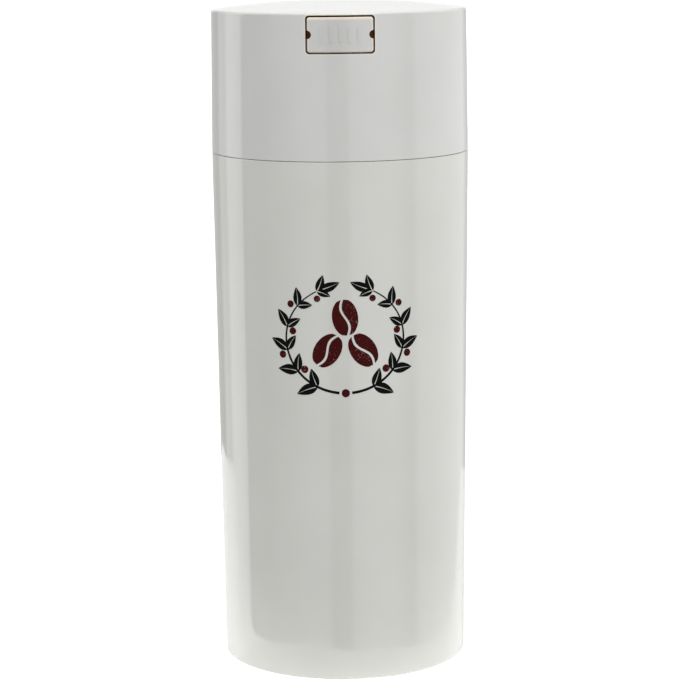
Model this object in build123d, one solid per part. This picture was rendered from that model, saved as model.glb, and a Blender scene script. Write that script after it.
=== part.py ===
"""Coffee canister with a press-button vent valve, in millimetres.

The canister stands on z = 0 with its axis on Z. The button looks along -Y. A cup and a neck collar
hold the coffee. The cap slides over the collar, and its inner lid plugs the neck with a lip seal.
Pressing the button drives two ramps under the feet of the valve, which lifts off the vent hole.
"""
from build123d import *
import os
from math import cos, pi, sin, sqrt

# Outer form: a draft is what the radius loses from the seam to the base or to the cap's rim
seam_diameter = 82.5
cup_height = 165.3
cup_draft = 1.7
cap_skirt_height = 45.3
cap_draft = 0.5
crown_rise = 2.8
base_edge_radius = 0.75
rim_edge_radius = 0.8
seam_gap = 0.15
seam_edge_radius = 0.2

# Cup and its foot
cup_wall = 2.8
cup_floor = 2.5
foot_ring_width = 3.0
foot_recess = 1.3
foot_recess_radius = 0.5
cup_corner_radius = 4.0

# Neck collar
collar_depth = 15.7
collar_wall = 2.0
collar_lead_in = 0.6
weld_clearance = 0.05

# Cap shell
skirt_wall = 2.0
collar_clearance = 0.25
crown_wall = 2.0
crown_inner_radius = 1.0
lid_step = 0.7

# Inner lid
lid_gap = 0.5
lid_plate = 2.0
plug_height = 11.5
plug_wall = 1.8
plug_clearance = 0.6
plug_edge_radius = 0.4
groove_height = 3.2
groove_depth = 0.8
groove_edge = 1.6

# Lip seal
groove_clearance = 0.1
lip_clearance = 0.2
seal_lips = 2
lip_root = 0.8
lip_edge = 0.3
lip_slant = 0.5

# Window and press button
window_width = 21.2
window_height = 11.7
window_drop = 0.7
window_corner = 1.1
button_gap = 0.45
button_corner = 0.9
button_edge_radius = 0.5
button_face_wall = 1.6
button_side_wall = 2.0
button_roof_wall = 1.4
button_travel = 3.0
flange_lip = 1.2
flange_lip_thickness = 1.35
flange_lip_drop = 2.2
flange_play = 0.25
notch_radius = 1.27
notch_depth = 2.2
grip_ribs = 5
grip_rib_width = 0.9
grip_rib_height = 4.5
grip_rib_relief = 0.2
grip_rib_pitch = 2.9

# Valve
valve_gap = 2.2
vent_radius = 2.4
seat_radius = 3.8
seat_rise = 0.6
seal_disc_radius = 4.6
seal_disc_thickness = 1.2
holder_radius = 4.9
holder_thickness = 0.8
tip_radius = 1.0
tip_fit = 0.05
barb_radius = 1.5
barb_height = 0.8
stem_radius = 1.8
foot_edge_gap = 0.1
foot_width = 3.0
foot_height = 2.4
head_radius = 4.8
head_thickness = 1.2
nub_radius = 2.6
nub_height = 1.2

# Ramps on the button, which lift the valve
ramp_slope = 0.5
ramp_stem_gap = 0.3
ramp_thickness = 2.0
ramp_floor_gap = 0.25
ramp_root = 1.5
ramp_crest_gap = 0.15
ramp_low_end = 1.9
ramp_clearance = 0.1

# Guide tube under the crown, for the valve's head
guide_fit = 0.2
guide_wall = 1.5
guide_gap = 0.2
spring_seat_depth = 0.1

# Rails and spring stops on the inner lid
rail_fit = 0.2
rail_wall = 1.2
rail_spring_gap = 0.55
rail_end_gap = 0.5
stop_setback = 6.4
stop_wall = 1.5
stop_cover = 0.85

# Springs
button_spring_side_gap = 0.15
button_spring_wire = 0.35
button_spring_turns = 7
spring_peg_gap = 0.45
spring_peg_length = 1.5
spring_pad_depth = 0.8
valve_spring_radius = 3.9
valve_spring_wire = 0.5
valve_spring_turns = 2.5
spring_end_gap = 0.05

# Cutting and picking
overrun = 5.0
pick_tolerance = 0.02
coil_samples = 48

# Places that follow from the sizes above
seam_radius = seam_diameter / 2
base_radius = seam_radius - cup_draft
rim_radius = seam_radius - cap_draft
seam_z = cup_height
rim_z = seam_z + cap_skirt_height
crown_z = rim_z + crown_rise
crown_sphere = (rim_radius**2 + crown_rise**2) / (2 * crown_rise)
collar_foot_z = seam_z - collar_depth
window_top_z = rim_z - window_drop
window_low_z = window_top_z - window_height
window_mid_z = (window_top_z + window_low_z) / 2
button_width = window_width - 2 * button_gap
button_top_z = window_top_z - button_gap
button_low_z = window_low_z + button_gap
lid_top_z = window_low_z - flange_lip - lid_gap
lid_under_z = lid_top_z - lid_plate
plug_foot_z = lid_under_z - plug_height
seat_z = lid_top_z + seat_rise
holder_z = seat_z + seal_disc_thickness
stem_z = holder_z + holder_thickness
pocket_half = button_width / 2 - button_side_wall
pocket_low_z = button_low_z + button_side_wall
pocket_top_z = button_top_z - button_roof_wall
ramp_underside_z = pocket_low_z + ramp_floor_gap
ramp_axis_z = ramp_underside_z + ramp_root
head_z = ramp_axis_z + foot_height
ramp_crest_z = head_z - ramp_crest_gap
ramp_inner = stem_radius + ramp_stem_gap
ramp_outer = ramp_inner + ramp_thickness
guide_bore = head_radius + guide_fit
button_spring_radius = (pocket_half - ramp_outer - 3 * button_spring_side_gap) / 2
button_spring_x = pocket_half - button_spring_side_gap - button_spring_radius
button_spring_z = (pocket_low_z + pocket_top_z) / 2
spring_peg_radius = button_spring_radius - button_spring_wire - spring_peg_gap


def cup_radius(z):
    """Outside radius of the cup at a height."""
    return base_radius + cup_draft * z / seam_z


def cap_radius(z):
    """Outside radius of the cap's skirt at a height."""
    return seam_radius - cap_draft * (z - seam_z) / cap_skirt_height


def skirt_bore(z):
    """Inside radius of the cap's skirt at a height."""
    return cap_radius(z) - skirt_wall


def crown_height(r, inset=0):
    """Height of the crown's sphere at a radius, or of its underside with the wall as inset."""
    return crown_z - crown_sphere + sqrt((crown_sphere - inset) ** 2 - r**2)


collar_radius = skirt_bore(seam_z) - collar_clearance
collar_top_radius = skirt_bore(lid_under_z) - collar_clearance
collar_bore = collar_top_radius - collar_wall
plug_radius = collar_bore - plug_clearance
cavity_rim_radius = cap_radius(lid_top_z) - skirt_wall - lid_step
lip_radius = cap_radius(window_mid_z) - skirt_wall - lid_step - flange_play
lip_reach = window_width / 2 + flange_lip
button_back_y = flange_lip_thickness - sqrt(lip_radius**2 - lip_reach**2)
stop_y = button_back_y + stop_setback
valve_y = stop_y + stop_wall + valve_gap + guide_bore + guide_wall


def turned(corners, crown=None):
    """Solid turned about Z from (radius, height) corners, closed over the top by a crown's arc."""
    edges = list(Polyline(*[(radius, 0, height) for radius, height in corners]).edges())
    end = edges[-1] @ 1
    if crown:
        edges += crown.edges()
        end = crown @ 1
    edges.append(Line(end, edges[0] @ 0).edge())
    return revolve(make_face(edges), Axis.Z)


def crown_arc(r, inset=0):
    """Arc of the crown, or of its underside, from a radius to the axis."""
    points = [(share * r, 0, crown_height(share * r, inset)) for share in (1, 0.5, 0)]
    return ThreePointArc(*points)


def ring_edges(solid, radius, z):
    """Circular edges of a solid at a radius and a height."""
    return [
        edge for edge in solid.edges().filter_by(GeomType.CIRCLE)
        if abs(edge.radius - radius) < pick_tolerance
        and abs(edge.arc_center.Z - z) < pick_tolerance
    ]


def block(x, y, z):
    """Block that fills the ranges x, y and z."""
    ranges = (x, y, z)
    centre = [(low + high) / 2 for low, high in ranges]
    return Pos(*centre) * Box(*[high - low for low, high in ranges])


def pillar(radius, low, high, x=0, y=0):
    """Upright cylinder between two heights."""
    return Pos(x, y, (low + high) / 2) * Cylinder(radius, high - low)


def pin(radius, front, back, x, z):
    """Cylinder along Y between two places."""
    return Pos(x, (front + back) / 2, z) * Rot(X=90) * Cylinder(radius, back - front)


def window_block(width, low, high, corner, front, back):
    """Block along Y whose front view is a rectangle with rounded corners."""
    view = Plane(origin=(0, front, (low + high) / 2), x_dir=(1, 0, 0), z_dir=(0, 1, 0))
    return extrude(view * RectangleRounded(width, high - low, corner), back - front)


def cap_envelope(inset=0):
    """The cap's full outside as one solid, or the same drawn in on its side and crown."""
    foot = (cap_radius(seam_z) - inset, seam_z)
    rim = (cap_radius(rim_z) - inset, crown_height(cap_radius(rim_z) - inset, inset))
    return turned([(0, seam_z), foot, rim], crown_arc(rim[0], inset))


def coil(radius, wire, turns, length):
    """Spring wire along Z from z = 0: two arcs for each quarter turn of a helix."""
    rise = length - wire
    quarters = round(4 * turns)

    def place(turn):
        angle = 2 * pi * turn
        return Vector(radius * cos(angle), radius * sin(angle), wire / 2 + rise * turn / turns)

    def heading(turn):
        angle = 2 * pi * turn
        slope = rise / turns / (2 * pi * radius)
        return Vector(-sin(angle), cos(angle), slope).normalized()

    arcs = []
    for quarter in range(quarters):
        start, end = (place(turns * step / quarters) for step in (quarter, quarter + 1))
        leave, arrive = (heading(turns * step / quarters) for step in (quarter, quarter + 1))
        chord = end - start
        along = chord.dot(leave + arrive)
        bend = 2 * (1 - leave.dot(arrive))
        reach = (sqrt(along**2 + bend * chord.dot(chord)) - along) / bend
        middle = (start + end + (leave - arrive) * reach) / 2
        arcs.append(TangentArc(start, middle, tangent=leave).edge())
        arcs.append(TangentArc(middle, end, tangent=arcs[-1] % 1).edge())

    path = Wire(arcs)
    section = Plane(origin=path @ 0, z_dir=path % 0) * Circle(wire / 2)
    print_coil_gap(place, turns, wire)
    return sweep(section, path=path)


def print_coil_gap(place, turns, wire):
    """Print the least gap between the turns of a coil, measured on points along it."""
    count = round(turns * coil_samples)
    points = [place(turns * step / count) for step in range(count + 1)]
    half = coil_samples // 2
    gaps = [
        (points[first] - points[second]).length - wire
        for first in range(len(points))
        for second in range(first + half, len(points))
    ]
    print(f"coil of {turns} turns: least gap {min(gaps):.2f} mm")


def container_cup():
    """The cup: a drawn-in foot, a floor and a wall that widens to the seam."""
    floor_z = foot_recess + cup_floor
    recess_radius = base_radius - foot_ring_width
    body = turned([(0, 0), (base_radius, 0), (seam_radius, seam_z), (0, seam_z)])
    chamber = turned([
        (0, floor_z),
        (cup_radius(floor_z) - cup_wall, floor_z),
        (cup_radius(collar_foot_z) - cup_wall, collar_foot_z),
        (0, collar_foot_z),
    ])
    chamber = fillet(ring_edges(chamber, cup_radius(floor_z) - cup_wall, floor_z), cup_corner_radius)
    mouth = pillar(collar_radius + weld_clearance, collar_foot_z, seam_z + overrun)
    recess = pillar(recess_radius, -overrun, foot_recess)
    cup = body - chamber - mouth - recess
    cup = fillet(ring_edges(cup, base_radius, 0), base_edge_radius)
    cup = fillet(ring_edges(cup, recess_radius, 0), foot_recess_radius)
    return fillet(ring_edges(cup, seam_radius, seam_z), seam_edge_radius)


def neck_collar():
    """The collar that stands in the cup's mouth and carries the cap."""
    ring = turned([
        (collar_bore, collar_foot_z),
        (collar_radius, collar_foot_z),
        (collar_radius, seam_z),
        (collar_top_radius, lid_under_z),
        (collar_bore, lid_under_z),
    ])
    return chamfer(ring_edges(ring, collar_bore, lid_under_z), collar_lead_in)


def cap_shell():
    """The outer cap: skirt, crown, window and the guide tube for the valve's head."""
    foot_z = seam_z + seam_gap
    outside = cap_envelope() - pillar(seam_radius + overrun, seam_z - overrun, foot_z)
    outside = fillet(ring_edges(outside, rim_radius, rim_z), rim_edge_radius)
    outside = fillet(ring_edges(outside, cap_radius(foot_z), foot_z), seam_edge_radius)
    skirt_space = turned([
        (0, seam_z), (skirt_bore(seam_z), seam_z), (skirt_bore(lid_top_z), lid_top_z), (0, lid_top_z),
    ])
    roof_radius = cap_radius(rim_z) - skirt_wall - lid_step
    roof = (roof_radius, crown_height(roof_radius, crown_wall))
    head_space = turned(
        [(0, lid_top_z), (cavity_rim_radius, lid_top_z), roof], crown_arc(roof_radius, crown_wall)
    )
    head_space = fillet(ring_edges(head_space, *roof), crown_inner_radius)
    window = window_block(
        window_width, window_low_z, window_top_z, window_corner,
        -seam_radius - overrun, button_back_y + button_travel + button_gap,
    )
    return outside - skirt_space - head_space - window + guide_tube()


def guide_tube():
    """Tube under the crown with a flat seat for the valve's spring."""
    top = crown_height(0, crown_wall)
    tube = pillar(guide_bore + guide_wall, head_z + guide_gap, top, y=valve_y)
    return tube - pillar(guide_bore, head_z, valve_spring_seat(), y=valve_y)


def valve_spring_seat():
    """Height of the flat seat above the valve's spring."""
    outer_edge = guide_bore + guide_wall - valve_y
    return crown_height(outer_edge, crown_wall) - spring_seat_depth


def inner_lid():
    """The plate welded under the cap, with the plug wall, the vent seat, rails and spring stops."""
    flange_radius = skirt_bore(lid_top_z) - weld_clearance
    lid = pillar(flange_radius, lid_under_z, lid_top_z)
    plug = pillar(plug_radius, plug_foot_z, lid_under_z)
    plug -= pillar(plug_radius - plug_wall, plug_foot_z - overrun, lid_under_z)
    plug = fillet(
        ring_edges(plug, plug_radius, plug_foot_z) + ring_edges(plug, plug_radius - plug_wall, plug_foot_z),
        plug_edge_radius,
    )
    groove_z = plug_foot_z + groove_edge
    groove = pillar(plug_radius + overrun, groove_z, groove_z + groove_height)
    groove -= pillar(plug_radius - groove_depth, groove_z, groove_z + groove_height)
    seat = pillar(seat_radius, lid_top_z, seat_z, y=valve_y)
    vent = pillar(vent_radius, lid_under_z - overrun, seat_z + overrun, y=valve_y)
    lid = lid + (plug - groove) + seat - vent
    for side in (-1, 1):
        lid += button_rail(side) + spring_stop(side)
    return lid


def sided(side, inner, outer):
    """Range from inner to outer on one side of the middle plane."""
    return tuple(sorted((side * inner, side * outer)))


def button_rail(side):
    """Rail that carries one of the button's ramps and guides it along Y."""
    front = button_back_y + button_travel + rail_end_gap
    along = (front, stop_y + stop_wall)
    shelf = block(sided(side, ramp_inner, ramp_outer + rail_fit), along,
                  (lid_top_z, ramp_underside_z - rail_fit))
    wall = block(sided(side, ramp_outer + rail_fit, ramp_outer + rail_fit + rail_wall), along,
                 (lid_top_z, button_spring_z - button_spring_radius - rail_spring_gap))
    return shelf + wall


def spring_stop(side):
    """Wall and peg that hold the back end of a button spring."""
    outer = button_spring_x + button_spring_radius + rail_wall
    wall = block(sided(side, ramp_outer + rail_fit, outer), (stop_y, stop_y + stop_wall),
                 (lid_top_z, button_spring_z + button_spring_radius + stop_cover))
    peg = pin(spring_peg_radius, stop_y - spring_peg_length, stop_y,
              side * button_spring_x, button_spring_z)
    return wall + peg


def lip_seal():
    """Silicone ring in the plug's groove, with lips that reach out to the collar's bore."""
    inner = plug_radius - groove_depth + groove_clearance
    outer = plug_radius - groove_clearance
    tip = collar_bore - lip_clearance
    foot = plug_foot_z + groove_edge + groove_clearance
    height = groove_height - 2 * groove_clearance
    pitch = height / seal_lips
    corners = [(inner, foot), (outer, foot)]
    for lip in range(seal_lips):
        root = foot + lip * pitch + (pitch - lip_root) / 2
        corners += [
            (outer, root),
            (tip, root + lip_slant),
            (tip, root + lip_slant + lip_edge),
            (outer, root + lip_root),
        ]
    corners += [(outer, foot + height), (inner, foot + height)]
    return turned(corners)


def press_button():
    """The button: a hollow block in the window, its retaining lips, ramps and spring seats."""
    front = -seam_radius - overrun
    solid = window_block(
        button_width, button_low_z, button_top_z, button_corner, front, button_back_y
    )
    solid = solid & cap_envelope()
    face_edges = [edge for edge in solid.edges() if edge.bounding_box().max.Y < button_back_y - overrun / 2]
    button = fillet(face_edges, button_edge_radius)
    button += retaining_lips() + grip_relief()
    button -= button_pocket()
    for side in (-1, 1):
        button -= pin(notch_radius, front, side_notch_floor(), side * button_width / 2, window_mid_z)
        button += ramp(side) + spring_seat(side)
    return button


def side_notch_floor():
    """Place along Y of the bottom of a notch in the button's edge."""
    half = button_width / 2
    return notch_depth - sqrt(cap_radius(window_mid_z) ** 2 - half**2)


def retaining_lips():
    """Lips at the button's sides and foot that rest on the inside of the skirt."""
    lips = block(
        (-lip_reach, lip_reach), (-seam_radius, button_back_y),
        (window_low_z - flange_lip, window_top_z - flange_lip_drop),
    )
    return lips & cap_envelope(skirt_wall + lid_step + flange_play)


def button_pocket():
    """The hollow in the button's back, behind a face of even thickness."""
    pocket = block(
        (-pocket_half, pocket_half), (-seam_radius, button_back_y + overrun), (pocket_low_z, pocket_top_z)
    )
    return pocket & cap_envelope(button_face_wall)


def grip_relief():
    """Low upright ribs in the middle of the button's face."""
    relief = cap_envelope(-grip_rib_relief)
    ribs = Part()
    for step in range(grip_ribs):
        x = (step - (grip_ribs - 1) / 2) * grip_rib_pitch
        bar = block(
            (x - grip_rib_width / 2, x + grip_rib_width / 2),
            (-seam_radius - overrun, button_face_wall / 2 - rim_radius + grip_rib_relief),
            (window_mid_z - grip_rib_height / 2, window_mid_z + grip_rib_height / 2),
        )
        ribs += bar & relief
    return ribs


def ramp(side):
    """Arm from the button's face whose sloped end lies under one of the valve's feet."""
    crest_y = valve_y - (ramp_crest_z - ramp_axis_z) / ramp_slope
    end_y = valve_y + ramp_low_end
    front = face_middle(ramp_outer)
    corners = [
        (front, ramp_underside_z),
        (end_y, ramp_underside_z),
        (end_y, ramp_axis_z - ramp_slope * ramp_low_end),
        (crest_y, ramp_crest_z),
        (front, ramp_crest_z),
    ]
    return upright_plate(corners, *sided(side, ramp_inner, ramp_outer))


def face_middle(x):
    """Place along Y of the middle of the button's face wall, at a distance x from the middle plane."""
    return button_face_wall / 2 - sqrt(rim_radius**2 - x**2)


def upright_plate(corners, low, high):
    """Plate with an outline of (y, z) corners, from one x to another."""
    outline = Polyline(*[(low, y, z) for y, z in corners], close=True)
    return extrude(make_face(outline), high - low, dir=(1, 0, 0))


def spring_seat(side):
    """Flat pad and peg inside the button's face for the front end of a spring."""
    x = side * button_spring_x
    front = button_spring_front()
    pad = pin(button_spring_radius, face_middle(button_spring_x), front, x, button_spring_z)
    peg = pin(spring_peg_radius, front, front + spring_peg_length, x, button_spring_z)
    return pad + peg


def button_spring_front():
    """Place along Y of the flat pad at a button spring's front end."""
    outer = button_spring_x + button_spring_radius
    return spring_pad_depth - sqrt((cap_radius(window_mid_z) - button_face_wall) ** 2 - outer**2)


def button_spring(side):
    """One of the two springs that push the button out."""
    length = stop_y - button_spring_front() - 2 * spring_end_gap
    wire = coil(button_spring_radius - button_spring_wire / 2, button_spring_wire,
                button_spring_turns, length)
    place = Pos(side * button_spring_x, button_spring_front() + spring_end_gap, button_spring_z)
    return place * Rot(X=-90) * wire


def valve_plug():
    """The stem: a barbed tip, the holder over the seal, two sloped feet and the guided head."""
    stem = pillar(holder_radius, holder_z, stem_z, y=valve_y)
    stem += pillar(tip_radius, seat_z - barb_height, holder_z, y=valve_y)
    stem += pillar(barb_radius, seat_z - barb_height, seat_z, y=valve_y)
    stem += pillar(stem_radius, stem_z, head_z, y=valve_y)
    stem += pillar(head_radius, head_z, head_z + head_thickness, y=valve_y)
    stem += pillar(nub_radius, head_z + head_thickness, head_z + head_thickness + nub_height, y=valve_y)
    half = foot_width / 2
    reach = ramp_outer - foot_edge_gap
    foot = upright_plate([
        (valve_y - half, ramp_axis_z + ramp_clearance + ramp_slope * half),
        (valve_y + half, ramp_axis_z + ramp_clearance - ramp_slope * half),
        (valve_y + half, head_z),
        (valve_y - half, head_z),
    ], -reach, reach)
    return stem + foot


def valve_seal():
    """The silicone disc that closes the vent, buttoned over the tip of the stem."""
    disc = pillar(seal_disc_radius, seat_z, holder_z, y=valve_y)
    return disc - pillar(tip_radius + tip_fit, seat_z - overrun, holder_z + overrun, y=valve_y)


def valve_spring():
    """The spring between the valve's head and its seat under the crown."""
    low = head_z + head_thickness + spring_end_gap
    wire = coil(valve_spring_radius - valve_spring_wire / 2, valve_spring_wire,
                valve_spring_turns, valve_spring_seat() - spring_end_gap - low)
    return Pos(0, valve_y, low) * wire


def build():
    """Write each piece to its own STEP file."""
    os.makedirs("parts", exist_ok=True)
    pieces = {
        "container_cup": container_cup(),
        "neck_collar": neck_collar(),
        "cap_shell": cap_shell(),
        "inner_lid": inner_lid(),
        "lip_seal": lip_seal(),
        "press_button": press_button(),
        "button_spring_left": button_spring(-1),
        "button_spring_right": button_spring(1),
        "valve_plug": valve_plug(),
        "valve_seal": valve_seal(),
        "valve_spring": valve_spring(),
    }
    for name, piece in pieces.items():
        export_step(piece, f"parts/{name}.step")


build()
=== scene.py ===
from math import acos, cos, pi, radians, sin

import bmesh
import bpy
from mathutils import Matrix, Vector


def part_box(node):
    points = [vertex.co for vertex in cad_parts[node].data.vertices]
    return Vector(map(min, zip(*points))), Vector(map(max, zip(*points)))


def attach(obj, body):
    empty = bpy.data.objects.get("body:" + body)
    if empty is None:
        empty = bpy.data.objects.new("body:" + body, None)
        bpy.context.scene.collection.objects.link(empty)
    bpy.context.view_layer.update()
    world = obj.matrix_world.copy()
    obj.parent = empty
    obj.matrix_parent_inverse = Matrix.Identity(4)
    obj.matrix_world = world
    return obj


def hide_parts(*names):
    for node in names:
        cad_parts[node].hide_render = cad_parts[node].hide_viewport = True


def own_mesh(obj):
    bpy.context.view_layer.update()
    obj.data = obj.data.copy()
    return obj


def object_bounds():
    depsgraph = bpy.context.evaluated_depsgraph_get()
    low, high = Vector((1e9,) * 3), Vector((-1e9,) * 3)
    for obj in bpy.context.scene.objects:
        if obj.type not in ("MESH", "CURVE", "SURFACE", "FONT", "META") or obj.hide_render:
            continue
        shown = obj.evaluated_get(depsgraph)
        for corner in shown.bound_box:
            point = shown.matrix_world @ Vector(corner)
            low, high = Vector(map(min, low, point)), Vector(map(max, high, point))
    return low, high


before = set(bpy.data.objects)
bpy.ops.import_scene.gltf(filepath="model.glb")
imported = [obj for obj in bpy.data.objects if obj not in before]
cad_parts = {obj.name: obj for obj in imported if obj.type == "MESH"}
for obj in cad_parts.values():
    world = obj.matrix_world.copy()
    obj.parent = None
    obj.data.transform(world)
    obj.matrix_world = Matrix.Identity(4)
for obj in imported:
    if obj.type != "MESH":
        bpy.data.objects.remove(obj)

cad_low, cad_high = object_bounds()
scene = bpy.context.scene
MM = 0.001

# Edges that bend by more than this stay sharp on smooth meshes
SHARP_ANGLE = radians(35)

# Camera: fitted to the outline, the seam and the rim in the photograph
CAMERA_DISTANCE = 0.78396
CAMERA_HEIGHT = 0.24053
CAMERA_PITCH = radians(9.9546)
CAMERA_YAW = radians(-0.0497)
CAMERA_ROLL = radians(-0.6227)
CAMERA_AZIMUTH = radians(-0.57)
CAMERA_CLIP = (0.01, 50.0)
LENS_MM = 128.9
SENSOR_MM = 36.0

# Brightness of the surroundings by azimuth in degrees, 0 towards the camera, + to the right
SURROUNDINGS = [
    (-180, 1.68), (-168, 1.1), (-149, 0.6), (-141, 0.5), (-137, 1.3), (-125.5, 1.35),
    (-120.5, 2.85), (-109, 3.25), (-99.8, 2.85), (-97.6, 0.4), (-88, 0.5), (-70, 0.4),
    (-60, 0.9), (-45, 1.15), (-33, 1.62), (-15, 1.45), (-10, 0.1), (5, 0.1),
    (10, 1.5), (27, 1.85), (46, 1.6), (56, 0.8), (62, 0.3), (68, 0.4),
    (73, 1.65), (100, 2.05), (125, 1.95), (145, 1.7), (152, 0.95), (168, 1.0), (180, 1.68),
]
BRIGHTEST = 3.5
LEVEL = 0.623
BACKDROP = 1.1

# Far below the horizon the bands lean outwards, so that they stay upright on the tapered cup
LEAN_RISE = (-0.10, -0.30)
LEAN = 0.96

# Light from above, and two lights that only reflections see: each sets in between two values of
# the direction's upward part, and of its part away from the camera
OVERHEAD = 3.4
OVERHEAD_RISE = (0.80, 0.92)
LAMP = 6.0
LAMP_RISE = (0.68, 0.78)
LAMP_REACH = (-0.12, -0.22)
BACK_GLOW = 1.48
BACK_RISE = (-0.01, 0.02)
BACK_REACH = (0.90, 0.96)

# Floor that only the camera sees, and two outlines of the table in metres: one that only
# reflections see, and one that only lights from below
FLOOR_RADIUS = 12.0
FLOOR_SIDES = 64
FLOOR_TONE = (0.92, 0.92, 0.915, 1.0)
FLOOR_GLOW = 0.5
MIRRORED_TABLE = [
    (-0.05, -0.05), (-0.03, -0.074), (0.027, -0.066), (0.042, -0.051), (0.081, 0.009),
    (0.147, 0.10), (0.195, 0.204), (0.118, 0.246), (-0.16, 0.29), (-0.237, 0.182),
    (-0.262, 0.149), (-0.193, 0.069), (-0.113, 0.007), (-0.066, -0.023),
]
LIT_TABLE = [
    (-0.05, -0.044), (0.0, -0.049), (0.05, -0.035), (0.087, 0.002), (0.128, 0.062),
    (0.20, 0.20), (0.17, 0.235), (-0.26, 0.22), (-0.31, 0.14), (-0.119, -0.025),
]
LIT_GLOW = 0.42

# Glow of the mirrored table by azimuth round LIMB, the edge of the canister's outline at the right
# of the picture; the left half of the table uses the same place mirrored
MIRROR_GLOW = [
    (-180, 0.2), (-158, 0.35), (-150, 0.6), (-141, 0.75), (-133, 1.1), (-126, 1.25), (-116, 1.15),
    (-100, 1.35), (-70, 1.4), (-45, 0.87), (110, 0.75), (140, 0.7), (150, 0.45), (164, 0.0), (180, 0.0),
]
LIMB = (0.037, -0.015)

# Softbox high in front, a little to the right
SOFTBOX_PLACE = (0.10, -0.45, 0.75)
SOFTBOX_AIM = (0.0, 0.0, 0.16)
SOFTBOX_SIZE = 0.5
SOFTBOX_WATTS = 1.2

# Canister in millimetres: two heights from model.glb's meshes, and the CAD source's sizes that it needs
TOP_Z = cad_high[2] / MM
CUP_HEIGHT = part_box("container_cup")[1][2] / MM
SEAM_RADIUS = 41.25
CUP_DRAFT = 1.7
CROWN_RISE = 2.8
WINDOW_DROP = 0.7
WINDOW_HEIGHT = 11.7
WINDOW_WIDTH = 21.2
WINDOW_CORNER = 1.1
BUTTON_GAP = 0.45
BUTTON_CORNER = 0.9
BUTTON_WIRE = 0.35
BUTTON_TURNS = 7
VALVE_WIRE = 0.5
VALVE_TURNS = 2.5

# Places that follow from them
BASE_RADIUS = SEAM_RADIUS - CUP_DRAFT
RIM_Z = TOP_Z - CROWN_RISE
WINDOW_TOP_Z = RIM_Z - WINDOW_DROP
WINDOW_LOW_Z = WINDOW_TOP_Z - WINDOW_HEIGHT

# Colours of the outer plastic, with a painted warm highlight for the edges round the window and painted
# brown shade for the walls and notches inside it
PEARL = ((0.640, 0.645, 0.622), (0.670, 0.674, 0.652))
PEARL_WORN = (0.60, 0.60, 0.57, 1.0)
CUP_SHADE = (1.015, 1.015, 0.99)
BUTTON_SHADE = (0.94, 0.94, 0.94)
# Painted highlight: warm light colour laid on the lit edges round the window and the button
RIM_PAINTED_HIGHLIGHT = (0.93, 0.80, 0.66, 1.0)
# Painted shade: brown laid on the walls of the gap between the window and the button
WALL_PAINTED_SHADE = (0.22, 0.095, 0.028, 1.0)
# Painted shade: dark brown laid in the button's notches
NOTCH_PAINTED_SHADE = (0.28, 0.105, 0.04, 1.0)

# Where the window's painted highlights and painted shade set in and end, in millimetres; a rim or an edge
# highlight also has its strength
FRONT_FADE = (-30.0, -32.0)
WALL_RADII = (40.72, 40.4)
WALL_REACH = (0.1, 0.2)
WALL_SPECULAR = (0.5, 0.1)
WINDOW_RIM_HIGHLIGHT = ((0.1, 0.5), 0.55)
TOP_EDGE_HIGHLIGHT = ((-1.1, -0.6), 0.8)
SIDE_EDGE_HIGHLIGHT = ((-0.7, -0.3), 0.5)
LOW_EDGE_HIGHLIGHT = ((-0.4, -0.1), 0.4)
NOTCH_EDGE = (1.28, 1.31)

# How the moulded materials vary
NOISE_SPAN = (0.3, 0.7)
SCUFF_SPAN = (0.45, 0.7)
SCUFF_REACH = 1.2
SCUFF_SIZE = 1.5
SCUFF_SHOW = 0.5
SCUFF_ROUGHNESS = 0.25
SINK_TO_PEEL = 12
SINK_WEIGHT = 3.0
CLOUD_TO_SMEAR = 3

# Ink: its flecks, its gloss and its colours
SPECKLE_SIZE = 0.0006
PATCH_SIZE = 0.006
PATCH_WEIGHT = 0.35
FLECK_FADE = 0.05
FLECK_SHOW = 0.8
INK_GLOSS = (0.42, 0.6)
INK_DEPTH = 0.000004
BLACK_INK = (0.004, 0.004, 0.004, 1.0)
BLACK_FLECK = (0.30, 0.30, 0.29, 1.0)
RED_INK = (0.052, 0.0055, 0.0055, 1.0)
RED_FLECK = (0.42, 0.27, 0.26, 1.0)

# Print on the cup's front, in millimetres
PRINT_Z = 110.2
PRINT_U = 0.6
PRINT_PROUD = 0.04
PRINT_THICKNESS = 0.05
SLICE = 1.0
SLICES = 26
SLIVER = 0.01

# Wreath in the print, in millimetres and in degrees from its foot at -90 up both branches; a pair's
# leaves have their splay in radians, their length and their width, and the top leaf also its bend
WREATH_WIDE = 19.2
WREATH_HIGH = 17.0
BRANCH_START = -84
BRANCH_SWEEP = 146
BRANCH_STEPS = 40
BRANCH_WIDTHS = (0.85, 0.35)
PITCH = 25
LEAF_START = -62
LEAF_PAIRS = 6
LEAF_PAIR = ((-0.8, 7.2, 1.6), (0.8, 6.0, 1.4))
LEAF_SHRINK = 0.05
LEAF_BEND = -0.18
LEAF_SHAPE = (0.8, 0.9)
LEAF_STEPS = 14
VEIN = 0.34
VEIN_TAPER = 0.85
TOP_LEAF_ANGLE = 66
TOP_LEAF = (6.6, 1.35, 0.1)
CHERRY_START = -40.5
CHERRIES = 5
CHERRY_RADIUS = 1.2
CHERRY_SHRINK = 0.04
CHERRY_ASIDE = 2.1
FOOT_CHERRY_RADIUS = 1.3

# Coffee beans in the print: centre and tilt in degrees of each, half its length and width, its crease
BEANS = (((0, 6.9), 98), ((-5.7, -3.5), 54), ((5.7, -3.5), 126))
BEAN_LONG = 5.9
BEAN_SHORT = 4.1
BEAN_STEPS = 16
CREASE = 0.8
CREASE_SWING = 0.24
CREASE_REACH = 0.96

# Spring wire
TURN_STEPS = 32
WIRE_SIDES = 10
CLOSED_PITCH = 1.04
SMOOTHINGS = 6


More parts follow.
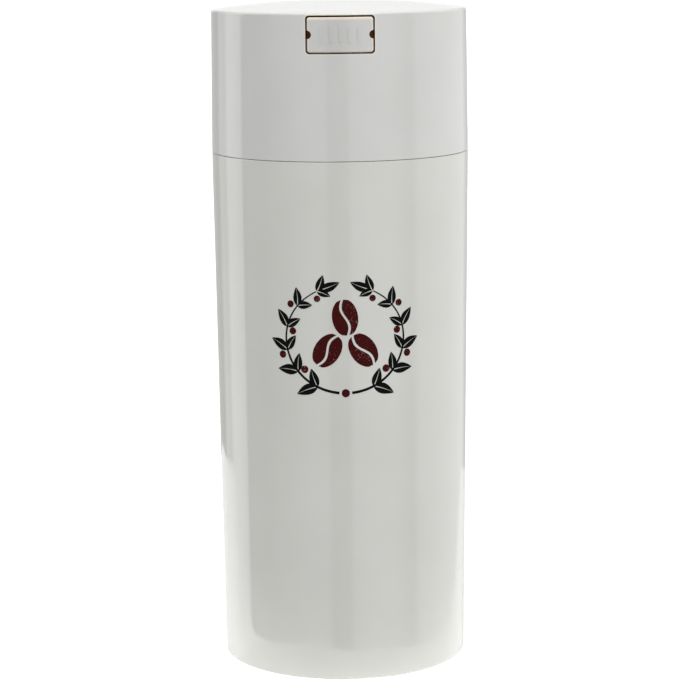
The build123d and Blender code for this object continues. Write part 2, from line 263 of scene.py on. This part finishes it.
class Nodes:
    """Short way to add linked nodes to a tree."""

    def __init__(self, tree):
        self.tree = tree

    def add(self, kind, inputs=None, output=0, **settings):
        """Add a node with its inputs set or linked, and return one of its outputs."""
        node = self.tree.nodes.new("ShaderNode" + kind)
        for name, value in settings.items():
            setattr(node, name, value)
        for name, value in (inputs or {}).items():
            self.feed(node, name, value)
        return node.outputs[output]

    def feed(self, node, name, value):
        """Set an input of a node, or link an output to it."""
        if isinstance(value, bpy.types.NodeSocket):
            self.tree.links.new(value, node.inputs[name])
        else:
            node.inputs[name].default_value = value

    def math(self, operation, first, second=0.0, third=0.0):
        """Result of a Math node."""
        return self.add("Math", {0: first, 1: second, 2: third}, operation=operation)

    def product(self, first, *others):
        """Product of two or more values."""
        for other in others:
            first = self.math("MULTIPLY", first, other)
        return first

    def length(self, first, second):
        """Length of a vector with two parts."""
        vector = self.add("CombineXYZ", {0: first, 1: second})
        return self.add("VectorMath", {0: vector}, output=1, operation="LENGTH")

    def scaled(self, value, low, high, new_low, new_high, kind="LINEAR"):
        """A value taken from one range to another."""
        numbers = {0: value, 1: low, 2: high, 3: new_low, 4: new_high}
        return self.add("MapRange", numbers, interpolation_type=kind)

    def noise(self, place, size, detail=2.0, roughness=0.5):
        """Noise from 0 to 1 with features of a size in metres."""
        inputs = {"Vector": place, "Scale": 1 / size, "Detail": detail, "Roughness": roughness}
        return self.add("TexNoise", inputs)

    def blend(self, factor, first, second):
        """Mix of two colours."""
        return self.add("Mix", {0: factor, 6: first, 7: second}, output=2, data_type="RGBA")

    def between(self, factor, first, second):
        """Mix of two values."""
        return self.add("Mix", {0: factor, 2: first, 3: second}, data_type="FLOAT")


class Finish(Nodes):
    """A material whose colour, gloss and surface vary over it."""

    def __init__(self, name, **sockets):
        self.material = bpy.data.materials.new(name)
        self.material.use_nodes = True
        super().__init__(self.material.node_tree)
        self.shader = self.tree.nodes["Principled BSDF"]
        for key, value in sockets.items():
            self.shader.inputs[key.replace("_", " ")].default_value = value
        self.place = self.add("TexCoord", output=3)

    def set(self, name, value):
        """Set an input of the shader, or link an output to it."""
        self.feed(self.shader, name, value)

    def axis(self, index):
        """One coordinate of the place."""
        return self.add("SeparateXYZ", {0: self.place}, output=index)

    def band(self, distance, span, start, end):
        """A value that goes from start to end over a span of distance in millimetres."""
        return self.scaled(distance, span[0] * MM, span[1] * MM, start, end)

    def worn_edges(self, heights):
        """Mask of scuffs near two edges, at heights in millimetres: 1 where worn."""
        level = self.axis(2)
        gaps = [self.math("ABSOLUTE", self.math("SUBTRACT", level, edge * MM)) for edge in heights]
        near = self.band(self.math("MINIMUM", *gaps), (0.0, SCUFF_REACH), 1.0, 0.0)
        scuff = self.noise(self.place, SCUFF_SIZE * MM, detail=4.0, roughness=0.7)
        return self.product(near, self.scaled(scuff, *SCUFF_SPAN, 0.0, 1.0))

    def moulded(self, tones, gloss, cloud, peel, peel_depth, worn=(), painted_light_tints=()):
        """Moulded plastic: cloudy colour, uneven gloss, fine peel and slow sink marks."""
        clouds = self.noise(self.place, cloud, detail=3.0, roughness=0.6)
        smears = self.noise(self.place, cloud / CLOUD_TO_SMEAR, detail=4.0, roughness=0.6)
        tone = self.blend(self.scaled(clouds, *NOISE_SPAN, 0.0, 1.0), *tones)
        rough = self.scaled(smears, *NOISE_SPAN, *gloss)
        if worn:
            mask = self.worn_edges(worn)
            tone = self.blend(self.product(mask, SCUFF_SHOW), tone, PEARL_WORN)
            rough = self.math("MULTIPLY_ADD", mask, SCUFF_ROUGHNESS, rough)
        # Painted highlights and painted shade: each a mask and a colour laid over the tone
        for mask, colour in painted_light_tints:
            tone = self.blend(mask, tone, colour)
        self.set("Base Color", tone)
        self.set("Roughness", rough)
        fine = self.noise(self.place, peel)
        slow = self.noise(self.place, peel * SINK_TO_PEEL, detail=1.0)
        height = self.math("MULTIPLY_ADD", slow, SINK_WEIGHT, fine)
        self.set("Normal", self.add("Bump", {"Strength": 1.0, "Distance": peel_depth, "Height": height}))
        return self.material


def outer_plastic(name, worn, window=None, shade=(1.0, 1.0, 1.0)):
    """Glossy pearl white shell plastic, with painted highlights and painted shade in and round the
    window.
    """
    finish = Finish(name, IOR=1.5)
    tones = [(*(part * level for part, level in zip(tone, shade)), 1.0) for tone in PEARL]
    return finish.moulded(
        tones, gloss=(0.05, 0.085), cloud=0.03, peel=0.0009, peel_depth=0.000002,
        worn=worn, painted_light_tints=window(finish) if window else (),
    )


def outside_window(finish, half_width, low, high, corner):
    """Distances beside, under, over and all round a rounded rectangle in the front view."""
    beside = finish.math("SUBTRACT", finish.math("ABSOLUTE", finish.axis(0)), half_width * MM)
    under = finish.math("SUBTRACT", low * MM, finish.axis(2))
    over = finish.math("SUBTRACT", finish.axis(2), high * MM)
    reaches = [
        finish.math("MAXIMUM", finish.math("ADD", part, corner * MM), 0.0)
        for part in (beside, finish.math("MAXIMUM", under, over))
    ]
    return beside, under, over, finish.math("SUBTRACT", finish.length(*reaches), corner * MM)


def front_mask(finish):
    """Mask of the canister's front."""
    return finish.band(finish.axis(1), FRONT_FADE, 0.0, 1.0)


def painted_wall_shade(finish, away):
    """Painted brown shade on the walls along an outline, below the outer surface, where the plastic also
    shines less.
    """
    near = finish.band(finish.math("ABSOLUTE", away), WALL_REACH, 1.0, 0.0)
    deep = finish.band(finish.length(finish.axis(0), finish.axis(1)), WALL_RADII, 0.0, 1.0)
    wall_shade = finish.product(near, deep, front_mask(finish))
    finish.set("Specular IOR Level", finish.scaled(wall_shade, 0.0, 1.0, *WALL_SPECULAR))
    return wall_shade, WALL_PAINTED_SHADE


def cap_window(finish):
    """Painted warm highlight round the window and painted brown shade on the walls inside it."""
    *_, away = outside_window(finish, WINDOW_WIDTH / 2, WINDOW_LOW_Z, WINDOW_TOP_Z, WINDOW_CORNER)
    reach, strength = WINDOW_RIM_HIGHLIGHT
    # Painted highlight round the window's outline
    rim = finish.product(finish.band(away, reach, strength, 0.0), front_mask(finish))
    return (rim, RIM_PAINTED_HIGHLIGHT), painted_wall_shade(finish, away)


def button_rim(finish):
    """Painted warm highlights on the button's edges, painted brown shade on its walls and painted dark
    shade in its notches.
    """
    half = WINDOW_WIDTH / 2 - BUTTON_GAP
    low, high = WINDOW_LOW_Z + BUTTON_GAP, WINDOW_TOP_Z - BUTTON_GAP
    beside, under, over, away = outside_window(finish, half, low, high, BUTTON_CORNER)
    edges = ((over, *TOP_EDGE_HIGHLIGHT), (beside, *SIDE_EDGE_HIGHLIGHT), (under, *LOW_EDGE_HIGHLIGHT))
    # Painted highlights along the button's top, side and lower edges
    bands = [(finish.band(distance, span, 0.0, glow), RIM_PAINTED_HIGHLIGHT) for distance, span, glow in edges]
    level = finish.math("SUBTRACT", finish.axis(2), (low + high) / 2 * MM)
    # Painted shade: dark brown within a notch's radius of the middle of each side
    notch_shade = finish.band(finish.length(beside, level), NOTCH_EDGE, 1.0, 0.0)
    notch_shade = finish.product(notch_shade, front_mask(finish))
    return (*bands, painted_wall_shade(finish, away), (notch_shade, NOTCH_PAINTED_SHADE))


def liner_plastic(name):
    """Satin white inner plastic."""
    tones = ((0.74, 0.74, 0.715, 1.0), (0.79, 0.79, 0.765, 1.0))
    return Finish(name, IOR=1.49).moulded(
        tones, gloss=(0.34, 0.46), cloud=0.02, peel=0.0006, peel_depth=0.000006
    )


def silicone(name):
    """Milky soft seal."""
    finish = Finish(
        name, IOR=1.41, Subsurface_Weight=0.35, Subsurface_Radius=(0.0012, 0.0011, 0.0010),
        Subsurface_Scale=1.0,
    )
    tones = ((0.70, 0.70, 0.675, 1.0), (0.76, 0.76, 0.735, 1.0))
    return finish.moulded(tones, gloss=(0.42, 0.58), cloud=0.006, peel=0.0003, peel_depth=0.000004)


def stem_plastic(name):
    """Satin grey slippery plastic."""
    tones = ((0.33, 0.34, 0.345, 1.0), (0.38, 0.39, 0.392, 1.0))
    return Finish(name, IOR=1.48).moulded(
        tones, gloss=(0.28, 0.40), cloud=0.008, peel=0.0005, peel_depth=0.000003
    )


def spring_steel(name):
    """Bright drawn wire with faint tarnish."""
    tones = ((0.52, 0.51, 0.50, 1.0), (0.66, 0.66, 0.66, 1.0))
    return Finish(name, Metallic=1.0).moulded(
        tones, gloss=(0.16, 0.34), cloud=0.003, peel=0.0002, peel_depth=0.000002
    )


def print_ink(name, ink, fleck, fleck_start):
    """Screen print: matt ink, thin in small flecks."""
    finish = Finish(name, Specular_IOR_Level=0.04)
    speckle = finish.noise(finish.place, SPECKLE_SIZE, detail=3.0, roughness=0.7)
    patch = finish.noise(finish.place, PATCH_SIZE)
    level = finish.math("MULTIPLY_ADD", patch, PATCH_WEIGHT, speckle)
    bare = finish.scaled(level, fleck_start, fleck_start + FLECK_FADE, 0.0, FLECK_SHOW)
    finish.set("Base Color", finish.blend(bare, ink, fleck))
    finish.set("Roughness", finish.scaled(patch, *NOISE_SPAN, *INK_GLOSS))
    finish.set("Normal", finish.add("Bump", {"Strength": 1.0, "Distance": INK_DEPTH, "Height": level}))
    return finish.material


def paint(obj, material):
    """Give an object one material."""
    obj.data.materials.clear()
    obj.data.materials.append(material)


def mesh_object(name, bm):
    """Smooth object from a bmesh, with its sharp edges kept sharp."""
    mesh = bpy.data.meshes.new(name)
    bmesh.ops.recalc_face_normals(bm, faces=bm.faces)
    bm.to_mesh(mesh)
    bm.free()
    for face in mesh.polygons:
        face.use_smooth = True
    mesh.set_sharp_from_angle(angle=SHARP_ANGLE)
    obj = bpy.data.objects.new(name, mesh)
    scene.collection.objects.link(obj)
    return obj


def disc(radius, centre, steps=24):
    """Outline of a circle."""
    return [
        (centre[0] + radius * cos(2 * pi * step / steps), centre[1] + radius * sin(2 * pi * step / steps))
        for step in range(steps)
    ]


def azimuth_of(nodes, across, along):
    """Azimuth of a place or a direction, in radians, 0 towards the camera."""
    return nodes.math("ARCTAN2", across, nodes.product(along, -1.0))


def by_azimuth(nodes, azimuth, levels):
    """Level that changes with an azimuth; the ramp holds shares of BRIGHTEST."""
    ramp = nodes.tree.nodes.new("ShaderNodeValToRGB")
    nodes.feed(ramp, "Fac", nodes.scaled(azimuth, -pi, pi, 0.0, 1.0))
    stops = ramp.color_ramp.elements
    while len(stops) < len(levels):
        stops.new(1.0)
    for stop, (degrees, level) in zip(stops, levels):
        stop.position = (degrees + 180) / 360
        stop.color = (level / BRIGHTEST,) * 3 + (1.0,)
    return nodes.product(ramp.outputs[0], BRIGHTEST)


def surroundings():
    """Bands of light all round, light from above, and a plain backdrop for the camera."""
    scene.world = bpy.data.worlds.new("studio")
    scene.world.use_nodes = True
    nodes = Nodes(scene.world.node_tree)
    background = nodes.tree.nodes["Background"]
    background.inputs["Color"].default_value = (1, 1, 1, 1)
    direction = nodes.add("TexCoord", output=0)
    across, along, up = (nodes.add("SeparateXYZ", {0: direction}, output=axis) for axis in range(3))
    leaning = nodes.product(azimuth_of(nodes, across, along), nodes.scaled(up, *LEAN_RISE, 1.0, LEAN))
    around = nodes.product(by_azimuth(nodes, leaning, SURROUNDINGS), LEVEL)
    mirrored = nodes.add("LightPath", output=3)
    back_high = nodes.scaled(up, *BACK_RISE, 0.0, 1.0)
    back_far = nodes.scaled(along, *BACK_REACH, 0.0, 1.0)
    around = nodes.between(nodes.product(back_high, back_far, mirrored), around, BACK_GLOW * LEVEL)
    above = nodes.scaled(up, *OVERHEAD_RISE, 0.0, 1.0, "SMOOTHSTEP")
    light = nodes.between(above, around, OVERHEAD * LEVEL)
    lamp_high = nodes.scaled(up, *LAMP_RISE, 0.0, LAMP * LEVEL)
    lamp_near = nodes.scaled(along, *LAMP_REACH, 0.0, 1.0)
    light = nodes.math("MULTIPLY_ADD", nodes.product(lamp_high, lamp_near), mirrored, light)
    seen = nodes.add("LightPath", output=0)
    nodes.feed(background, "Strength", nodes.between(seen, light, BACKDROP))


def sheet(name, corners, seen_by):
    """Flat glowing sheet at z = 0 that one kind of ray sees; returns its finish."""
    bm = bmesh.new()
    bm.faces.new([bm.verts.new((x, y, 0)) for x, y in corners])
    obj = mesh_object(name, bm)
    finish = Finish(
        f"{name}_paint", Base_Color=FLOOR_TONE, Roughness=0.8, Specular_IOR_Level=0.1,
        Emission_Color=FLOOR_TONE,
    )
    paint(obj, finish.material)
    obj.visible_camera = seen_by == "camera"
    obj.visible_glossy = seen_by == "glossy"
    obj.visible_diffuse = seen_by == "diffuse"
    obj.visible_shadow = seen_by == "camera"
    return finish


def table_glow(finish):
    """Glow of the mirrored table by azimuth round the outline's edge on the same side."""
    x, y = finish.axis(0), finish.axis(1)
    across = finish.math("MULTIPLY_ADD", finish.math("SIGN", x), -LIMB[0], x)
    along = finish.math("SUBTRACT", y, LIMB[1])
    return by_azimuth(finish, azimuth_of(finish, across, along), MIRROR_GLOW)


def softbox():
    """Soft light from high in front, seen only by what it lights."""
    lamp = bpy.data.objects.new("softbox", bpy.data.lights.new("softbox", "AREA"))
    lamp.data.size = SOFTBOX_SIZE
    lamp.data.energy = SOFTBOX_WATTS
    lamp.location = SOFTBOX_PLACE
    lamp.rotation_euler = (Vector(SOFTBOX_AIM) - lamp.location).to_track_quat("-Z", "Y").to_euler()
    lamp.visible_camera = False
    lamp.visible_glossy = False
    scene.collection.objects.link(lamp)


def camera():
    """The photograph's camera."""
    obj = bpy.data.objects.new("camera", bpy.data.cameras.new("camera"))
    obj.data.lens = LENS_MM
    obj.data.sensor_width = SENSOR_MM
    obj.data.clip_start, obj.data.clip_end = CAMERA_CLIP
    obj.matrix_world = (
        Matrix.Rotation(CAMERA_AZIMUTH, 4, "Z")
        @ Matrix.Translation((0, -CAMERA_DISTANCE, CAMERA_HEIGHT))
        @ Matrix.Rotation(-CAMERA_YAW, 4, "Z")
        @ Matrix.Rotation(pi / 2 - CAMERA_PITCH, 4, "X")
        @ Matrix.Rotation(CAMERA_ROLL, 4, "Z")
    )
    scene.collection.objects.link(obj)
    scene.camera = obj
    scene.view_settings.view_transform = "Standard"


def studio():
    """Plain pale floor, soft surroundings and the camera."""
    surroundings()
    floor = sheet("floor", disc(FLOOR_RADIUS, (0, 0), FLOOR_SIDES), "camera")
    floor.set("Emission Strength", FLOOR_GLOW)
    mirrored = sheet("mirrored_table", MIRRORED_TABLE, "glossy")
    mirrored.set("Emission Strength", table_glow(mirrored))
    lit = sheet("lit_table", LIT_TABLE, "diffuse")
    lit.set("Emission Strength", LIT_GLOW)
    softbox()
    camera()


def turned_by(points, angle, centre):
    """Points turned about the origin and moved to a centre."""
    c, s = cos(angle), sin(angle)
    return [(centre[0] + c * x - s * y, centre[1] + s * x + c * y) for x, y in points]


def half_leaf(length, width, bend, side):
    """Outline of a leaf's half on one side of its midrib."""
    inner, outer = [], []
    for step in range(LEAF_STEPS + 1):
        share = step / LEAF_STEPS
        rib = bend * length * share * (1 - share)
        spread = width * sin(pi * share ** LEAF_SHAPE[0]) ** LEAF_SHAPE[1] if 0 < share < 1 else 0.0
        vein = VEIN / 2 * (1 - VEIN_TAPER * share)
        inner.append((length * share, rib + side * vein))
        outer.append((length * share, rib + side * (vein + spread)))
    return inner + outer[-2:0:-1]


def half_bean(side):
    """Outline of a coffee bean's half on one side of its crease."""
    inner, outer = [], []
    for step in range(BEAN_STEPS + 1):
        share = CREASE_REACH * (2 * step / BEAN_STEPS - 1)
        swing = CREASE_SWING * BEAN_SHORT * sin(pi * share)
        inner.append((BEAN_LONG * share, swing + side * CREASE / 2))
    start = acos(CREASE_REACH)
    for step in range(1, BEAN_STEPS):
        angle = start + (pi - 2 * start) * step / BEAN_STEPS
        outer.append((BEAN_LONG * cos(angle), side * BEAN_SHORT * sin(angle)))
    return inner + outer


def wreath_place(degrees, side):
    """Place and heading on one branch of the wreath, from its foot at -90 degrees upwards."""
    angle = radians(degrees)
    place = Vector((side * WREATH_WIDE * cos(angle), WREATH_HIGH * sin(angle)))
    heading = Vector((-side * WREATH_WIDE * sin(angle), WREATH_HIGH * cos(angle)))
    return place, heading.normalized()


def branch(side):
    """Outline of a tapering branch."""
    points = [
        wreath_place(BRANCH_START + BRANCH_SWEEP * step / BRANCH_STEPS, side)[0]
        for step in range(BRANCH_STEPS + 1)
    ]
    start_width, end_width = BRANCH_WIDTHS
    left, right = [], []
    for step, point in enumerate(points):
        ahead = points[min(step + 1, BRANCH_STEPS)] - points[max(step - 1, 0)]
        across = Vector((-ahead.y, ahead.x)).normalized()
        half = (start_width + (end_width - start_width) * step / BRANCH_STEPS) / 2
        left.append(tuple(point + across * half))
        right.append(tuple(point - across * half))
    return left + right[::-1]


def leaf(size, angle, place):
    """Both halves of a leaf with a length, a width and a bend."""
    return [turned_by(half_leaf(*size, half), angle, place) for half in (-1, 1)]


def leaves(side):
    """Pairs of leaves along one branch, and the leaf at its tip."""
    shapes = []
    for pair in range(LEAF_PAIRS):
        place, heading = wreath_place(LEAF_START + PITCH * pair, side)
        turn = heading.angle_signed(Vector((1, 0)))
        shrink = 1 - LEAF_SHRINK * pair
        for splay, length, width in LEAF_PAIR:
            size = (length * shrink, width * shrink, LEAF_BEND * side * splay)
            shapes += leaf(size, turn + side * splay, place)
    place, heading = wreath_place(TOP_LEAF_ANGLE, side)
    length, width, bend = TOP_LEAF
    return shapes + leaf((length, width, bend * side), heading.angle_signed(Vector((1, 0))), place)


def cherries(side):
    """Cherries inside and outside one branch by turns."""
    shapes = []
    for step in range(CHERRIES):
        place, heading = wreath_place(CHERRY_START + PITCH * step, side)
        outwards = Vector((heading.y, -heading.x)) * side
        centre = place + outwards * (CHERRY_ASIDE if step % 2 else -CHERRY_ASIDE)
        shapes.append(disc(CHERRY_RADIUS - CHERRY_SHRINK * step, centre))
    return shapes


def wreath():
    """Outlines of the black branches and leaves, and of the red cherries and beans."""
    black, red = [], []
    for side in (-1, 1):
        black += [branch(side)] + leaves(side)
        red += cherries(side)
    for centre, tilt in BEANS:
        red += [turned_by(half_bean(half), radians(tilt), centre) for half in (-1, 1)]
    red.append(disc(FOOT_CHERRY_RADIUS, (0, -WREATH_HIGH)))
    return black, red


def on_cup(u, v):
    """Point of the ink's outside on the cup, from a place on the print, in metres."""
    z = PRINT_Z + v
    radius = BASE_RADIUS + (SEAM_RADIUS - BASE_RADIUS) * z / CUP_HEIGHT + PRINT_PROUD
    angle = (u + PRINT_U) / SEAM_RADIUS
    return Vector((radius * sin(angle), -radius * cos(angle), z)) * MM


def flat_print(outlines):
    """Flat shapes, cut into upright slices that can follow the cup's curve."""
    bm = bmesh.new()
    for outline in outlines:
        bm.faces.new([bm.verts.new((x, y, 0)) for x, y in outline])
    bm.normal_update()
    bmesh.ops.triangulate(bm, faces=bm.faces[:], ngon_method="EAR_CLIP")
    for cut in range(-SLICES, SLICES + 1):
        geometry = bm.verts[:] + bm.edges[:] + bm.faces[:]
        bmesh.ops.bisect_plane(bm, geom=geometry, plane_co=(cut * SLICE, 0, 0), plane_no=(1, 0, 0))
    bmesh.ops.dissolve_degenerate(bm, dist=SLIVER, edges=bm.edges[:])
    return bm


def printed(name, outlines, material):
    """Thin ink shapes laid on the cup's curved front."""
    bm = flat_print(outlines)
    top = bm.faces[:]
    for vert in bm.verts:
        vert.co = on_cup(vert.co.x, vert.co.y)
    for face in top:
        if face.normal.length == 0 or face.normal.dot(face.calc_center_median() * Vector((1, 1, 0))) < 0:
            face.normal_flip()
    made = bmesh.ops.extrude_face_region(bm, geom=top)
    for item in made["geom"]:
        if isinstance(item, bmesh.types.BMVert):
            outwards = Vector((item.co.x, item.co.y, 0)).normalized()
            item.co -= outwards * PRINT_THICKNESS * MM
    obj = mesh_object(name, bm)
    paint(obj, material)
    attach(obj, "container")


def spring_rises(length, turns, wire, closed):
    """Rise of a spring's wire at each step: closed turns at both ends, and open ones between."""
    steps = round(turns * TURN_STEPS)
    shares = [step / steps for step in range(1, steps + 1)]
    shut = [min(share, 1 - share) * turns < closed for share in shares]
    shut_rise = CLOSED_PITCH * wire * turns / steps
    open_rise = (length - wire - shut.count(True) * shut_rise) / shut.count(False)
    rises = [0.0]
    for end in shut:
        rises.append(rises[-1] + (shut_rise if end else open_rise))
    for _ in range(SMOOTHINGS):
        middle = [sum(rises[step - 1:step + 2]) / 3 for step in range(1, steps)]
        rises = [rises[0]] + middle + [rises[-1]]
    return rises


def wire_ring(bm, point, ahead, centre, along, wire):
    """Ring of vertices round a wire at a point of a spring."""
    out = point - centre
    out = (out - along * out.dot(along)).normalized()
    other = ahead.cross(out).normalized()
    out = other.cross(ahead).normalized()
    ring = []
    for side in range(WIRE_SIDES):
        angle = 2 * pi * side / WIRE_SIDES
        ring.append(bm.verts.new(point + (out * cos(angle) + other * sin(angle)) * wire / 2))
    return ring


def wire_mesh(points, centre, along, wire):
    """Round wire along the points of a spring."""
    bm = bmesh.new()
    last = len(points) - 1
    rings = []
    for step, point in enumerate(points):
        ahead = (points[min(step + 1, last)] - points[max(step - 1, 0)]).normalized()
        rings.append(wire_ring(bm, point, ahead, centre, along, wire))
    for first, second in zip(rings, rings[1:]):
        for side in range(WIRE_SIDES):
            following = (side + 1) % WIRE_SIDES
            bm.faces.new((first[side], first[following], second[following], second[side]))
    bm.faces.new(rings[0][::-1])
    bm.faces.new(rings[-1])
    return bm


def spring(name, node, axis, turns, wire, closed, material):
    """Wound wire with closed ends in the place of a CAD spring."""
    low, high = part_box(node)
    centre = (low + high) / 2
    length = high[axis] - low[axis]
    across = (axis + 1) % 3
    radius = (high[across] - low[across]) / 2 - wire / 2
    u, v, along = (Vector([float(k == (axis + shift) % 3) for k in range(3)]) for shift in (1, 2, 0))
    points = []
    for step, rise in enumerate(spring_rises(length, turns, wire, closed)):
        angle = 2 * pi * step / TURN_STEPS
        spoke = (u * cos(angle) + v * sin(angle)) * radius
        points.append(centre + spoke + along * (rise + wire / 2 - length / 2))
    bm = wire_mesh(points, centre, along, wire)
    for vert in bm.verts:
        vert.co[axis] = min(max(vert.co[axis], low[axis]), high[axis])
    obj = mesh_object(name, bm)
    paint(obj, material)
    anchor = centre.copy()
    anchor[axis] = high[axis]
    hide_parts(node)
    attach(obj, "cap")
    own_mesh(obj)


studio()

finishes = {
    "container_cup": outer_plastic("cup_plastic", (0.0, CUP_HEIGHT), shade=CUP_SHADE),
    "cap_shell": outer_plastic("cap_plastic", (RIM_Z, CUP_HEIGHT), cap_window),
    "press_button": outer_plastic(
        "button_plastic", (WINDOW_LOW_Z, WINDOW_TOP_Z), button_rim, BUTTON_SHADE
    ),
    "neck_collar": liner_plastic("collar_plastic"),
    "inner_lid": liner_plastic("lid_plastic"),
    "lip_seal": silicone("lip_silicone"),
    "valve_seal": silicone("disc_silicone"),
    "valve_plug": stem_plastic("stem_acetal"),
}
for node, material in finishes.items():
    paint(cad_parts[node], material)

black_shapes, red_shapes = wreath()
printed("print_leaves", black_shapes, print_ink("black_ink", BLACK_INK, BLACK_FLECK, fleck_start=0.95))
printed("print_beans", red_shapes, print_ink("red_ink", RED_INK, RED_FLECK, fleck_start=0.82))

steel = spring_steel("spring_wire")
for side in ("left", "right"):
    spring(
        f"wound_{side}_spring", f"button_spring_{side}", axis=1, turns=BUTTON_TURNS,
        wire=BUTTON_WIRE * MM, closed=1.0, material=steel,
    )
spring(
    "wound_valve_spring", "valve_spring", axis=2, turns=VALVE_TURNS,
    wire=VALVE_WIRE * MM, closed=0.5, material=steel,
)
